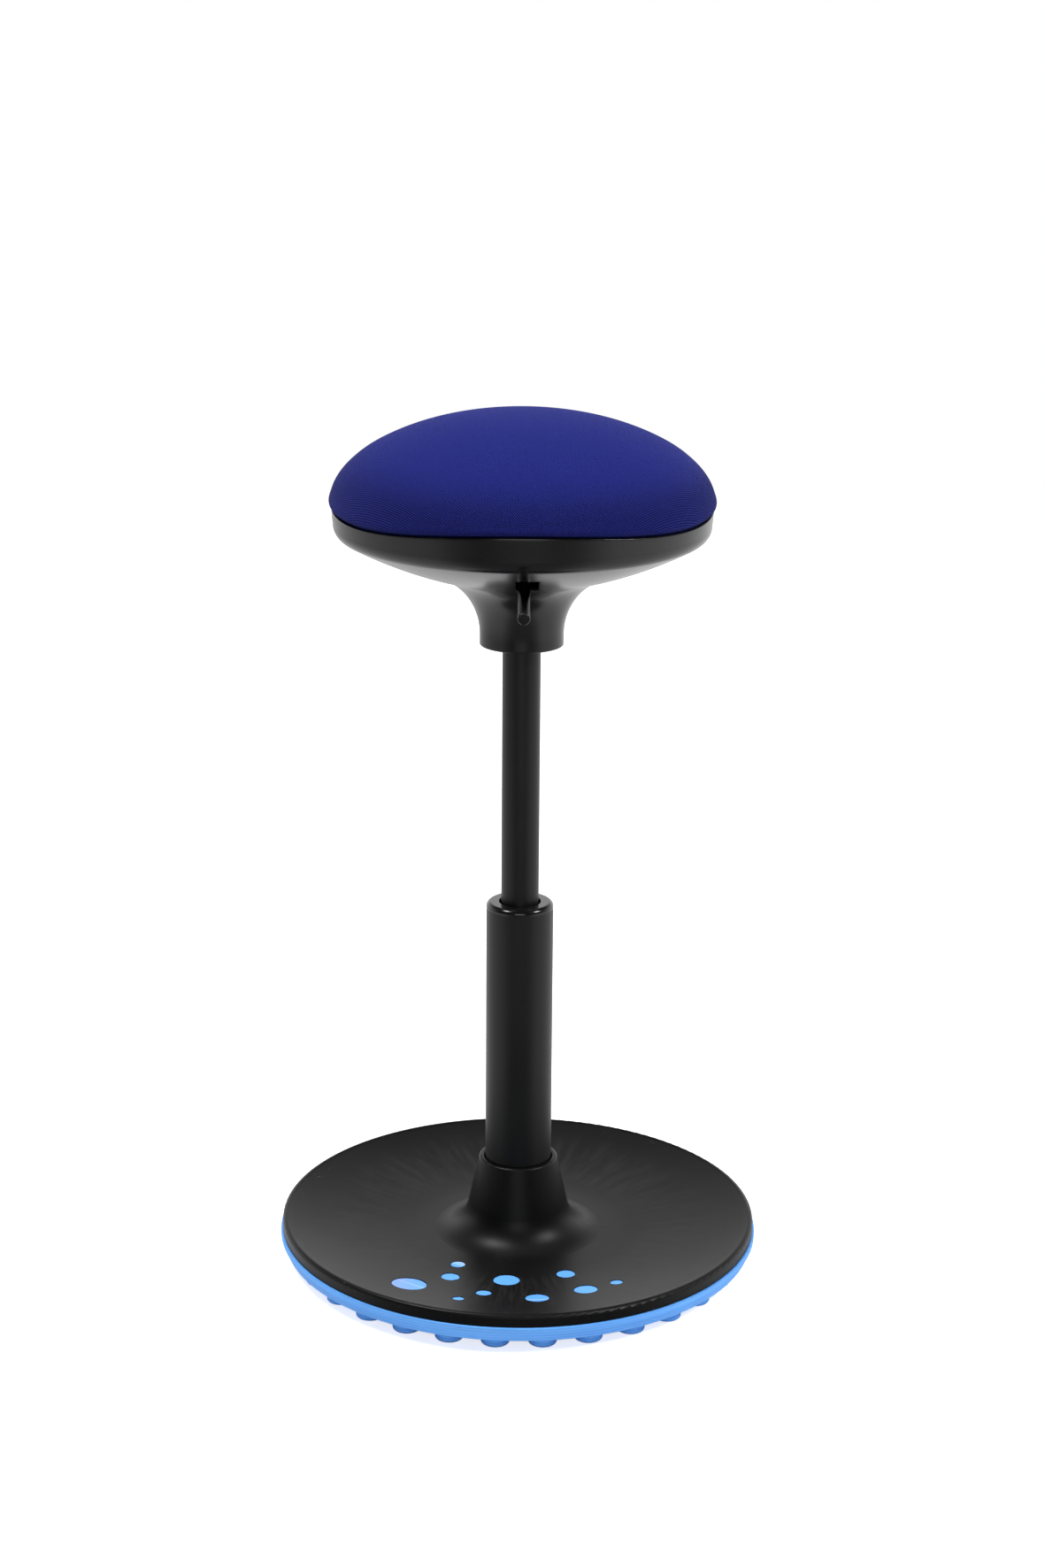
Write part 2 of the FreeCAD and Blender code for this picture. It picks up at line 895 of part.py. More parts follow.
def lever_slot():
    """Opening of the shell that the lever stands out of, and rises into when it is pulled."""
    sill = lever_height - slot_drop
    outer_end = saucer_radius(lever_height + slot_rise)
    inner_end = flare_radius(sill, shell_wall)
    left = lever_offset - lever_radius - slot_left_gap
    right = lever_offset + lever_radius + slot_right_gap
    return block(left, right, -outer_end, -inner_end, sill, mount_bottom)


def column_taper_radius(height):
    """Outer radius of the gas cylinder's tapered head."""
    share = (height - column_top + column_taper_height) / column_taper_height
    return column_radius - column_taper_drop * share


def seat_socket():
    bottom = hub_bottom + hub_floor
    step = column_top + seat_socket_step
    shape = turned(
        (column_taper_radius(bottom) + running_gap, bottom),
        (seat_socket_radius, bottom),
        (seat_socket_radius, mount_bottom),
        (seat_socket_bore_radius, mount_bottom),
        (seat_socket_bore_radius, step),
        (column_taper_radius(step) + running_gap, step),
    )
    half = lever_tongue_width / 2 + window_side_gap
    low = lever_underside - window_below
    high = lever_height + window_above
    reach = seat_socket_radius + overrun
    window = block(-half, half, -reach, 0, low, high)
    hole = rod_along_x(pivot_radius + running_gap, -reach, reach, -lever_pivot_offset, lever_height)
    return shape.cut([window, hole])


def seat_mount_plate():
    half = mount_side / 2
    shape = block(-half, half, -half, half, mount_bottom, board_level)
    upright = [edge for edge in shape.Edges if edge.BoundBox.ZLength > mount_thickness / 2]
    shape = shape.makeFillet(mount_corner, upright)
    holes = [disc(seat_socket_bore_radius, mount_bottom - overrun, board_level + overrun)]
    for place in mount_screw_places():
        radius = mount_screw_radius + hole_gap
        holes.append(disc(radius, mount_bottom - overrun, board_level + overrun, place))
    return shape.cut(holes)


def mount_screws():
    shapes = []
    for place in mount_screw_places():
        head = disc(mount_screw_head_radius, board_level, board_level + mount_screw_head_height, place)
        tip = mount_bottom - mount_screw_length + overrun
        shapes.append(head.fuse(disc(mount_screw_radius, tip, board_level, place)).removeSplitter())
    return Part.makeCompound(shapes)


def seat_board():
    shape = turned(
        (0, board_level),
        (board_radius, board_level, board_edge_round),
        (board_radius, board_top),
        (0, board_top),
    )
    radius = mount_screw_head_radius + head_room
    top = board_level + mount_screw_head_height + head_room
    return shape.cut([disc(radius, board_level - overrun, top, place) for place in mount_screw_places()])


def board_clips():
    shapes = []
    for place in clip_places():
        shoulder = board_level - clip_head_height
        head = disc(clip_head_radius, shoulder, board_level, place)
        stud = disc(clip_stud_radius, shoulder - clip_stud_length + overrun, shoulder, place)
        shapes.append(head.fuse(stud).removeSplitter())
    return Part.makeCompound(shapes)


def inward(place_share, normal_deg, inset):
    """A place on the cushion's skin moved inwards, against the direction that it faces."""
    normal = math.radians(normal_deg)
    radius = belly_radius * place_share[0] - inset * math.cos(normal)
    return radius, board_top + cushion_height * place_share[1] - inset * math.sin(normal)


def crown_middle(inset):
    """Point half way along the crown, on the arc that is level at the top."""
    edge = inward(crown_share, crown_normal_deg, inset)
    top = board_top + cushion_height - inset
    drop = top - edge[1]
    curve = (edge[0] ** 2 + drop ** 2) / (2 * drop)
    half = edge[0] / 2
    return Via(half, top - curve + math.sqrt(curve ** 2 - half ** 2))


def cushion_skin(inset):
    """Items of the cushion's outline from its tucked-in foot up to the top of the crown."""
    return [
        inward(tuck_share, tuck_normal_deg, inset),
        inward(belly_share, belly_normal_deg, inset),
        Via(*inward(side_middle_share, side_middle_normal_deg, inset)),
        inward(side_share, side_normal_deg, inset),
        Via(*inward(shoulder_share, shoulder_normal_deg, inset)),
        inward(crown_share, crown_normal_deg, inset),
        crown_middle(inset),
        (0, board_top + cushion_height - inset),
    ]


def rim_keepout(margin):
    """Room of the shell's wavy rim with a margin round it, which the cushion stays out of."""
    inner = band_radius - shell_wall - rim_gap - margin
    top = rim_level + 2 * rim_wave + margin
    space = ring(inner, belly_radius + overrun, board_top - overrun, top)
    return space.cut(above_wave(rim_gap + margin))


def cushion_foam():
    shape = turned((0, board_top), (board_radius, board_top), *cushion_skin(cover_thickness))
    return shape.cut(rim_keepout(cover_thickness))


def cushion_cover():
    skirt = board_radius + cover_thickness
    bottom = board_top - skirt_depth
    bag = turned((0, bottom), (skirt, bottom), (skirt, board_top - skirt_drop), *cushion_skin(0))
    inside = disc(board_radius, bottom - overrun, board_top)
    return bag.cut(rim_keepout(0)).cut([cushion_foam(), inside])


def release_lever():
    rod = Part.makeCylinder(
        lever_radius,
        lever_reach - lever_tongue_start,
        Vector(lever_offset, -lever_reach, lever_height),
        BACKWARDS,
    )
    tip = [edge for edge in rod.Edges if edge.BoundBox.YMax < overrun - lever_reach]
    rod = rod.makeFillet(lever_tip_round, tip)
    half = lever_tongue_width / 2
    overlap = lever_tongue_start + lever_radius
    tongue = block(-half, half, -overlap, lever_tongue_end, lever_height - half, lever_height + half)
    eye = pivot_radius + running_gap
    hole = rod_along_x(eye, -lever_radius, lever_radius, -lever_pivot_offset, lever_height)
    eye_ends = [edge for edge in tongue.Edges if edge.BoundBox.YMin > lever_tongue_end - overrun]
    across = [edge for edge in eye_ends if edge.BoundBox.XLength > half]
    tongue = tongue.makeFillet(half - pin_round, across)
    return rod.fuse(tongue).removeSplitter().cut(hole)


def socket_side(radius):
    """How far out a washer of this radius on the pivot clears the socket's round wall."""
    near = lever_pivot_offset - radius
    return math.sqrt(seat_socket_radius ** 2 - near ** 2) + running_gap


def lever_pivot():
    head_side = -socket_side(pivot_head_radius)
    clip_side = socket_side(pivot_clip_radius)
    tail = clip_side + pivot_clip_thickness + pivot_tail
    shaft = rod_along_x(pivot_radius, head_side, tail, -lever_pivot_offset, lever_height)
    head_end = head_side - pivot_head_height
    head = rod_along_x(pivot_head_radius, head_end, head_side, -lever_pivot_offset, lever_height)
    groove = pivot_sleeve(pivot_neck_radius, pivot_radius, running_gap)
    return shaft.fuse(head).removeSplitter().cut(groove)


def pivot_sleeve(inner, outer, margin):
    """Ring round the pivot where its clip sits."""
    start = socket_side(pivot_clip_radius)
    end = start + pivot_clip_thickness + margin
    sleeve = rod_along_x(outer, start, end, -lever_pivot_offset, lever_height)
    return sleeve.cut(rod_along_x(inner, start, end, -lever_pivot_offset, lever_height))


def lever_pivot_clip():
    return pivot_sleeve(pivot_neck_radius + running_gap, pivot_clip_radius, 0)


pieces = {
    "base_tread": base_tread,
    "base_cover": base_cover,
    "base_plate": base_plate,
    "base_socket": base_socket,
    "base_screws": base_screws,
    "standing_tube": standing_tube,
    "tube_cap": tube_cap,
    "guide_bush": guide_bush,
    "tube_end_plate": tube_end_plate,
    "bearing_lower_race": lambda: bearing_race(end_plate_top),
    "bearing_upper_race": lambda: bearing_race(upper_race_bottom),
    "bearing_balls": bearing_balls,
    "bearing_cage": bearing_cage,
    "piston_rod": piston_rod,
    "rod_clip": rod_clip,
    "rod_washer": rod_washer,
    "rod_buffer": rod_buffer,
    "rod_nut": rod_nut,
    "piston": piston,
    "piston_seal": piston_seal,
    "gas_cylinder": gas_cylinder,
    "inner_cylinder": inner_cylinder,
    "rod_guide": rod_guide,
    "rod_seal": rod_seal,
    "valve_body": valve_body,
    "release_pin": release_pin,
    "seat_socket": seat_socket,
    "seat_mount_plate": seat_mount_plate,
    "mount_screws": mount_screws,
    "seat_shell": seat_shell,
    "seat_board": seat_board,
    "board_clips": board_clips,
    "cushion_foam": cushion_foam,
    "cushion_cover": cushion_cover,
    "release_lever": release_lever,
    "lever_pivot": lever_pivot,
    "lever_pivot_clip": lever_pivot_clip,
}

for name, make in pieces.items():
    save(name, make())
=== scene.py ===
import math

import bpy
from mathutils import Matrix, Vector

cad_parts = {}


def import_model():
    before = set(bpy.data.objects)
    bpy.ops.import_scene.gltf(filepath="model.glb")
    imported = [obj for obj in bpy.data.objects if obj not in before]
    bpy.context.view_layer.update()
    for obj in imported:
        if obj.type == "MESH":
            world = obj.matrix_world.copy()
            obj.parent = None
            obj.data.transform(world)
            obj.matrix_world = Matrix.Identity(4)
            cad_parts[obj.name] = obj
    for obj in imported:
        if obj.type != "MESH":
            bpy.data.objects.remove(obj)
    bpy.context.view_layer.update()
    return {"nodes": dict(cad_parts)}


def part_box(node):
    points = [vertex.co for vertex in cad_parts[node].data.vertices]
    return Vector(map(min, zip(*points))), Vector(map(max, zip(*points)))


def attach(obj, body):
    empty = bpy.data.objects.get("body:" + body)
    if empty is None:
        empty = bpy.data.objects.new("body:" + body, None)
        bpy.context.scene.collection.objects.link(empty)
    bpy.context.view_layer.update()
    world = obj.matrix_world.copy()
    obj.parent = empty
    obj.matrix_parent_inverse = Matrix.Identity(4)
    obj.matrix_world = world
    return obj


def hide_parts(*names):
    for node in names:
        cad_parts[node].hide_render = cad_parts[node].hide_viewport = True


# Looks of the height-adjustable stool, in metres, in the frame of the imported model:
# +Z up, -Y is the front, the origin is on the floor under the column.

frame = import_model()
nodes = frame["nodes"]

FULL_TURN = 2 * math.pi
FRONT = -math.pi / 2
MM = 0.001

# Camera: where the photograph was taken from
camera_place = (0.0, -2.07065, 0.98445)
camera_lens_mm = 67.36
camera_sensor_mm = 36.0
camera_pitch_deg = 73.489
camera_heading_deg = -0.036
camera_roll_deg = 0.411
camera_clip = (0.05, 50.0)

# Seat shell: outer skin from the hub's bore up to the rim
shell_low, shell_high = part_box("seat_shell")
rim_radius = shell_high.x
rim_wave = 3.65 * MM
rim_lobes = 3
rim_level = shell_high.z - rim_wave
shell_wall = 3.0 * MM
hub_bottom = shell_low.z
hub_bore = 15.0 * MM
hub_radius = 30.6 * MM
hub_round = 0.8 * MM
flare_start = hub_bottom + 8.0 * MM
flare_curve = 46.7 * MM
flare_turn = math.radians(76.0)
crease_round = 0.8 * MM
saucer_start = math.radians(16.5)
saucer_end = math.radians(28.1)
band_radius = 136.0 * MM
band_round = 11.0 * MM
saucer_end_radius = band_radius - 8.5 * MM
lip_round = 1.45 * MM
lip_steps = 4
lip_angle = math.radians(50)
hub_steps, edge_steps = 3, 5
flare_steps, saucer_steps, corner_steps, band_steps = 22, 26, 12, 8
shell_columns = 360
slot_half_columns = 4
slot_sides = (-4.4 * MM, 11.6 * MM)
slot_low = 528.5 * MM
slot_high = 547.9 * MM

# Cushion: its seam follows the rim's wave. Places are shares of its belly's radius and of its height,
# with the direction that the skin faces there
cushion_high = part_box("cushion_cover")[1]
belly_radius = cushion_high.x
board_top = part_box("seat_board")[1].z
cushion_height = cushion_high.z - board_top
seam_gap = 0.8 * MM
belly_share = (1.0, 0.176, 0.0)
skin_shares = [
    (0.987, 0.2634, 17.0),
    (0.9445, 0.412, 36.0),
    (0.853, 0.5776, 51.0),
    (0.716, 0.7288, 64.0),
    (0.0, 1.0, 90.0),
]
cushion_columns = 360
wave_fade_height = 26.0 * MM
skin_steps = [8, 6, 9, 10, 10, 30]
bottom_rings = (0.03, 0.07, 0.10, 0.12)
board_gap = 0.3 * MM
# The skirt in the shell: places out from the shell's inner wall, and up from the board or the seam
skirt_foot = [(-1.2 * MM, 0.0), (-0.3 * MM, 1.0 * MM)]
skirt_seam = [(0.0, -1.5 * MM), (0.35 * MM, -0.1 * MM)]
skirt_turn = (1.4 * MM, 0.35 * MM, -62.0)

# Finishes: colours are sRGB levels and scales are per metre. A span is the part of a noise or wave
# that is spread over the whole change
noise_span = (0.3, 0.7)
cloud_scale = 9.0
grain_strength = 0.6
plastic_specular = 0.38
plastic_grain = 0.45 * MM
shell_gloss = (0.2, 0.26)

# The foot's dish, its worn ring and its scuffed rim
foot_tone = (8, 8, 8)
foot_tone_light = (12, 12, 12)
foot_gloss = 0.4
foot_gloss_clouds = 0.05
foot_specular = 0.16
foot_grain = 0.04 * MM
foot_grain_scale = 1800.0
bell_gloss = 0.37
bell_radius = 66.0 * MM
bell_fade = 25.0 * MM
rim_fade = 5.0 * MM
wear_tone = (46, 46, 46)
wear_share = 0.55
wear_dullness = 0.06
wear_inner_radius = 84.0 * MM
wear_outer_radius = 168.0 * MM
wear_start = 20.0 * MM
wear_fade = 45.0 * MM
streak_scale = 24.0
streak_length = 1.2
streak_span = (0.42, 0.72)
scuff_tone = (95, 95, 95)
scuff_radius = 171.0 * MM
scuff_fade = 6.0 * MM
patch_scale, patch_span = 28.0, (0.58, 0.68)
mark_scale, mark_span = 420.0, (0.62, 0.7)
speck_scale, speck_span, speck_share = 520.0, (0.77, 0.8), 0.5

# Rubber, and the blue tread with its mould lines, which carry a painted highlight, and dots
rubber_gloss = (0.5, 0.62)
rubber_specular = 0.35
rubber_grain, rubber_strength = 0.03 * MM, 0.4
rubber_fine_scale = 900.0
rubber_cloud_scale = 14.0
soft_span = (0.35, 0.65)
tread_tone = (98, 172, 252)
tread_tone_light = (92, 165, 248)
# The mould lines are real ridges; their pale tone is a painted highlight
mould_line_highlight_tone = (190, 220, 255)
mould_line_pitch = 2.6 * MM
mould_line_span = (0.9, 1.0)
mould_line_highlight_share = 0.5
mould_line_depth = 4.0
dot_tone = (150, 165, 228)
dot_share = 0.7
dot_sides = (-0.1, -0.06)
dot_level, dot_level_fade = 13.0 * MM, 0.3 * MM
dot_reach, dot_reach_fade = 165.0 * MM, 1.0 * MM

# Metal, wood and foam
metal_line_scale, metal_shade = 300.0, 0.8
metal_grain, metal_strength = 0.02 * MM, 0.3
wood_tone, wood_tone_dark = (206, 170, 120), (160, 118, 74)
wood_gloss = (0.5, 0.7)
wood_stretch, wood_scale = (3.0, 40.0, 400.0), 4.0
wood_grain, wood_strength = 0.1 * MM, 0.4
foam_tone, foam_tone_light = (210, 200, 160), (238, 230, 200)
foam_gloss = (0.8, 0.95)
foam_scale, foam_span = 900.0, (0.0, 0.6)
foam_grain, foam_strength = 0.4 * MM, 0.6

# Seat's cloth. Its weave is clearest low on the sides, where painted shade also darkens it
cloth_dark = (6, 9, 56)
cloth_light = (40, 51, 158)
cloth_faded = (20, 25, 92)
cloth_cloud_scale, cloth_cloud_share = 30.0, 0.1
cloth_gloss = (0.8, 0.95)
cloth_specular = 0.1
sheen_weight, sheen_roughness, sheen_tint = 0.08, 0.4, (110, 120, 235)
weave_pitch_across = 1.9 * MM
weave_pitch_along = 2.3 * MM
weave_span = (0.0, 0.8)
weave_depth, weave_strength = 0.4 * MM, 0.8
weave_clear_below = board_top + 22.0 * MM
weave_even_above = board_top + 52.0 * MM
weave_top_contrast = 0.35
weave_mean = 0.38
# Painted shade: how much darker the cloth is painted low on the sides
low_painted_shade = 0.05
waver_scale, waver_reach = 22.0, 1.2 * MM
fibre_scale, fibre_depth = 2600.0, 0.35
weave_share, fibre_share = 0.8, 0.25
tone_span = (0.1, 1.0)

# Light of the room by direction, and the floor
room_front = 0.03
room_back = 1.55
room_above = 0.05
room_above_span = (0.2, 0.75)
room_back_span = (-0.35, 0.65)
floor_radius, floor_corners = 3.0, 96
floor_colour = 0.8
floor_colour_mirrored = 0.2
floor_glow = 0.87
floor_glow_near = 0.7
floor_side_span = (-0.3, 0.3)
floor_near_span = (0.5, 1.8)
floor_front_span = (-0.95, -0.5)
floor_mirrored_front = 0.0
floor_mirrored_near = 0.88
floor_mirrored_left = 0.68
floor_mirrored_right = 1.1
# Lamps: name, azimuth from the front in degrees (positive to the right), elevation, distance, size
# and power
lamp_aim = (0.0, 0.0, 0.35)
lamps = [
    ("key_left", -78, 62, 2.2, 0.6, 42),
    ("key_right", 72, 40, 2.2, 0.6, 35),
    ("front", 0, 10, 2.2, 1.2, 10),
    ("top", 180, 80, 2.2, 1.6, 10),
]


def wave(angle):
    """The rim's wave, highest at the front."""
    return rim_wave * math.sin(rim_lobes * angle)


def arc(centre, radius, start, end, steps):
    """Points of an arc in the radius-height plane, both ends included."""
    angles = [start + (end - start) * step / steps for step in range(steps + 1)]
    return [(centre[0] + radius * math.cos(a), centre[1] + radius * math.sin(a)) for a in angles]


def line(start, end, steps):
    """Points of a straight run, without its last one."""
    shares = [step / steps for step in range(steps)]
    return [(start[0] + (end[0] - start[0]) * s, start[1] + (end[1] - start[1]) * s) for s in shares]


def new_object(name, mesh):
    made = bpy.data.objects.new(name, mesh)
    bpy.context.scene.collection.objects.link(made)
    return made


def mesh_object(name, points, faces):
    mesh = bpy.data.meshes.new(name)
    mesh.from_pydata(points, [], faces)
    mesh.validate()
    mesh.update()
    made = new_object(name, mesh)
    for face in mesh.polygons:
        face.use_smooth = True
    return made


def modify(piece, kind, **settings):
    modifier = piece.modifiers.new(kind.lower(), kind)
    for name, value in settings.items():
        setattr(modifier, name, value)
    return modifier


# Seat shell

def shell_profile():
    """(radius, height, share of the rim's wave) from the hub's bore to the rim."""
    crease_radius = hub_radius + flare_curve * (1 - math.cos(flare_turn))
    crease_height = flare_start + flare_curve * math.sin(flare_turn)
    reach = (saucer_end_radius - crease_radius) / (math.sin(saucer_end) - math.sin(saucer_start))
    centre = (
        crease_radius - reach * math.sin(saucer_start),
        crease_height + reach * math.cos(saucer_start),
    )
    points = line((hub_bore, hub_bottom), (hub_radius - hub_round, hub_bottom), hub_steps)
    points += arc((hub_radius - hub_round, hub_bottom + hub_round), hub_round, FRONT, 0, edge_steps)
    points += line((hub_radius, hub_bottom + 2 * hub_round), (hub_radius, flare_start), hub_steps)
    flare_centre = (hub_radius + flare_curve, flare_start)
    back_off = crease_round / flare_curve
    points += arc(flare_centre, flare_curve, math.pi, math.pi - flare_turn + back_off, flare_steps)
    start = FRONT + saucer_start + crease_round / reach
    points += arc(centre, reach, start, FRONT + saucer_end, saucer_steps)
    end_height = centre[1] - reach * math.cos(saucer_end)
    corner_height = end_height + (band_radius - saucer_end_radius) * math.tan(saucer_end)
    turn = math.pi / 2 - saucer_end
    trim = band_round * math.tan(turn / 2)
    corner_centre = (band_radius - band_round, corner_height + trim)
    corner_start = band_radius - band_round * (1 - math.sin(saucer_end))
    points = [point for point in points if point[0] < corner_start]
    points += arc(corner_centre, band_round, FRONT + saucer_end, 0, corner_steps)
    rows = [(radius, height, 0.0) for radius, height in points]
    low = points[-1]
    for step in range(1, band_steps + 1):
        share = step / band_steps
        height = low[1] + (rim_level - low[1]) * share
        rows.append((low[0] + (rim_radius - low[0]) * share, height, share))
    return rows


def slot_columns(radius, count):
    """Angles of one row's columns. Two of them run along the slot's straight sides."""
    reach = max(radius, hub_radius)
    sides = [FRONT + math.asin(side / reach) for side in slot_sides]
    middle = count // 2
    spots = [
        (0, FRONT - math.pi),
        (middle - slot_half_columns, sides[0]),
        (middle + slot_half_columns, sides[1]),
        (count, FRONT + math.pi),
    ]
    angles = []
    for index in range(count):
        for (first, start), (last, end) in zip(spots, spots[1:]):
            if first <= index < last:
                share = (index - first) / (last - first)
                angles.append(start + (end - start) * share)
                break
    return angles


def seat_shell():
    rows = shell_profile()
    count = shell_columns
    points = []
    for radius, height, follow in rows:
        for angle in slot_columns(radius, count):
            lift = follow * wave(angle)
            points.append((radius * math.cos(angle), radius * math.sin(angle), height + lift))
    middle = count // 2
    faces = []
    for row in range(len(rows) - 1):
        inside = slot_low < rows[row][1] and rows[row + 1][1] < slot_high
        for column in range(count):
            if inside and middle - slot_half_columns <= column < middle + slot_half_columns:
                continue
            after = (column + 1) % count
            low = row * count
            high = low + count
            faces.append((low + column, low + after, high + after, high + column))
    piece = mesh_object("shell", points, faces)
    modify(piece, "SOLIDIFY", thickness=shell_wall, offset=-1, use_even_offset=True)
    modify(
        piece, "BEVEL", width=lip_round, segments=lip_steps, limit_method="ANGLE",
        angle_limit=lip_angle, use_clamp_overlap=True,
    )
    return piece


# Cushion

def hermite(start, end, steps):
    """Points between two places of the skin, each given as radius, height and facing direction."""
    def tangent(place):
        facing = math.radians(place[2])
        return Vector((-math.sin(facing), math.cos(facing)))

    first = Vector(start[:2])
    last = Vector(end[:2])
    pull = (last - first).length / 3
    handles = [first, first + tangent(start) * pull, last - tangent(end) * pull, last]
    points = []
    for step in range(steps):
        s = step / steps
        weights = [(1 - s) ** 3, 3 * s * (1 - s) ** 2, 3 * s ** 2 * (1 - s), s ** 3]
        points.append(sum((w * h for w, h in zip(weights, handles)), Vector((0, 0))))
    return points


def cushion_profile():
    """(radius, height, share of the wave) from the middle of the flat bottom to the crown."""
    inner = rim_radius - shell_wall - seam_gap
    bottom = board_top + board_gap
    seam = rim_level + seam_gap
    rows = [(radius, bottom, 0.0) for radius in bottom_rings]
    rows += [(inner + out, bottom + up, 0.0) for out, up in skirt_foot]
    rows += [(inner + out, seam + up, 1.0) for out, up in skirt_seam]
    places = [(inner + skirt_turn[0], seam + skirt_turn[1], skirt_turn[2])]
    for share, rise, facing in [belly_share] + skin_shares:
        places.append((belly_radius * share, board_top + cushion_height * rise, facing))
    for (start, end), count in zip(zip(places, places[1:]), skin_steps):
        for point in hermite(start, end, count):
            above = max(0.0, point[1] - seam)
            follow = max(0.0, 1 - above / wave_fade_height) ** 2
            rows.append((point[0], point[1], follow))
    return rows


def cushion():
    rows = cushion_profile()
    count = cushion_columns
    points = []
    for radius, height, follow in rows:
        for column in range(count):
            angle = FULL_TURN * column / count
            lift = follow * wave(angle)
            points.append((radius * math.cos(angle), radius * math.sin(angle), height + lift))
    faces = []
    for row in range(len(rows) - 1):
        for column in range(count):
            after = (column + 1) % count
            low = row * count
            high = low + count
            faces.append((low + column, low + after, high + after, high + column))
    top = len(points)
    points.append((0, 0, cushion_high.z))
    points.append((0, 0, rows[0][1]))
    last = (len(rows) - 1) * count
    for column in range(count):
        after = (column + 1) % count
        faces.append((last + column, last + after, top))
        faces.append((after, column, top + 1))
    piece = mesh_object("cushion", points, faces)
    lay_weave(piece, rows, count)
    return piece


def lay_weave(piece, rows, count):
    """Texture coordinates in metres of cloth: the cover is laid from the crown outwards."""
    lengths = [0.0] * len(rows)
    travelled = rows[-1][0]
    lengths[-1] = travelled
    for index in range(len(rows) - 2, -1, -1):
        step = math.dist(rows[index][:2], rows[index + 1][:2])
        travelled += step
        lengths[index] = travelled
    layer = piece.data.uv_layers.new(name="weave")
    top = len(rows) * count
    for loop in piece.data.loops:
        vertex = loop.vertex_index
        if vertex == top:
            layer.data[loop.index].uv = (0, 0)
            continue
        row = min(vertex // count, len(rows) - 1)
        angle = FULL_TURN * (vertex % count) / count
        length = lengths[0] if vertex > top else lengths[row]
        layer.data[loop.index].uv = (length * math.cos(angle), length * math.sin(angle))


# Materials

def linear(*levels):
    """Scene colour of an sRGB colour given in 0 to 255."""
    values = [level / 255 for level in levels]
    return tuple(v / 12.92 if v <= 0.04045 else ((v + 0.055) / 1.055) ** 2.4 for v in values) + (1.0,)


class Tree:
    """Short ways to add nodes to the tree of a material or a world."""

    def __init__(self, owner):
        owner.use_nodes = True
        self.tree = owner.node_tree
        self.tree.nodes.clear()

    def add(self, kind, sockets=None, **settings):
        made = self.tree.nodes.new("ShaderNode" + kind)
        for name, value in settings.items():
            setattr(made, name, value)
        for name, value in (sockets or {}).items():
            if isinstance(value, bpy.types.NodeSocket):
                self.tree.links.new(value, made.inputs[name])
            else:
                made.inputs[name].default_value = value
        return made

    def place(self):
        return self.add("TexCoord").outputs["Object"]

    def noise(self, vector, scale, detail=2.0, roughness=0.5):
        sockets = {"Vector": vector, "Scale": scale, "Detail": detail, "Roughness": roughness}
        return self.add("TexNoise", sockets).outputs["Fac"]

    def math(self, operation, *values):
        return self.add("Math", dict(enumerate(values)), operation=operation).outputs["Value"]

    def vector(self, operation, *values, **sockets):
        sockets = {**dict(enumerate(values)), **sockets}
        return self.add("VectorMath", sockets, operation=operation).outputs[0]

    def length(self, vector):
        return self.add("VectorMath", {0: vector}, operation="LENGTH").outputs["Value"]

    def split(self, vector):
        return self.add("SeparateXYZ", {"Vector": vector}).outputs

    def combine(self, x, y, z):
        return self.add("CombineXYZ", {"X": x, "Y": y, "Z": z}).outputs[0]

    def spread(self, value, span, to=(0.0, 1.0), smooth=False):
        """Stretches a span of the value over the range to, and holds its ends beyond."""
        sockets = {"Value": value, "From Min": span[0], "From Max": span[1]}
        sockets |= {"To Min": to[0], "To Max": to[1]}
        kind = "SMOOTHSTEP" if smooth else "LINEAR"
        return self.add("MapRange", sockets, interpolation_type=kind).outputs["Result"]

    def mix(self, share, first, second):
        return self.add("Mix", {0: share, 6: first, 7: second}, data_type="RGBA").outputs[2]

    def blend(self, share, first, second):
        return self.add("Mix", {0: share, 2: first, 3: second}).outputs[0]

    def bump(self, height, distance, strength=1.0):
        sockets = {"Height": height, "Distance": distance, "Strength": strength}
        return self.add("Bump", sockets).outputs["Normal"]

    def surface(self, shader, output="OutputMaterial"):
        self.tree.links.new(shader.outputs[0], self.add(output).inputs["Surface"])


class Shading(Tree):
    """A new material."""

    def __init__(self, name):
        self.material = bpy.data.materials.new(name)
        super().__init__(self.material)

    def finish(self, sockets):
        self.surface(self.add("BsdfPrincipled", sockets))
        return self.material


def moulded_plastic(name, dark, light, gloss, grain, specular=plastic_specular):
    """Moulded plastic or a coat of paint: a fine grain, and slight clouds in its gloss."""
    shade = Shading(name)
    place = shade.place()
    clouds = shade.noise(place, cloud_scale, detail=3.0)
    fine = shade.noise(place, 1 / plastic_grain)
    share = shade.spread(clouds, noise_span)
    return shade.finish({
        "Base Color": shade.mix(share, linear(dark, dark, dark), linear(light, light, light)),
        "Roughness": shade.spread(clouds, noise_span, gloss),
        "Specular IOR Level": specular,
        "Normal": shade.bump(fine, grain, grain_strength),
    })


def foot_wear(shade, flat, radius):
    """Streaks that run outwards over the dish."""
    heading = shade.split(shade.vector("NORMALIZE", flat))
    along = shade.math("MULTIPLY", radius, streak_length)
    fan = shade.combine(heading["X"], heading["Y"], along)
    bands = shade.noise(fan, streak_scale, detail=5.0, roughness=0.6)
    streaks = shade.spread(bands, streak_span)
    inner_edge = (wear_inner_radius, wear_inner_radius + wear_start)
    outer_edge = (wear_outer_radius - wear_fade, wear_outer_radius)
    near = shade.spread(radius, inner_edge, smooth=True)
    far = shade.spread(radius, outer_edge, (1.0, 0.0), smooth=True)
    return shade.math("MULTIPLY", streaks, shade.math("MULTIPLY", near, far))


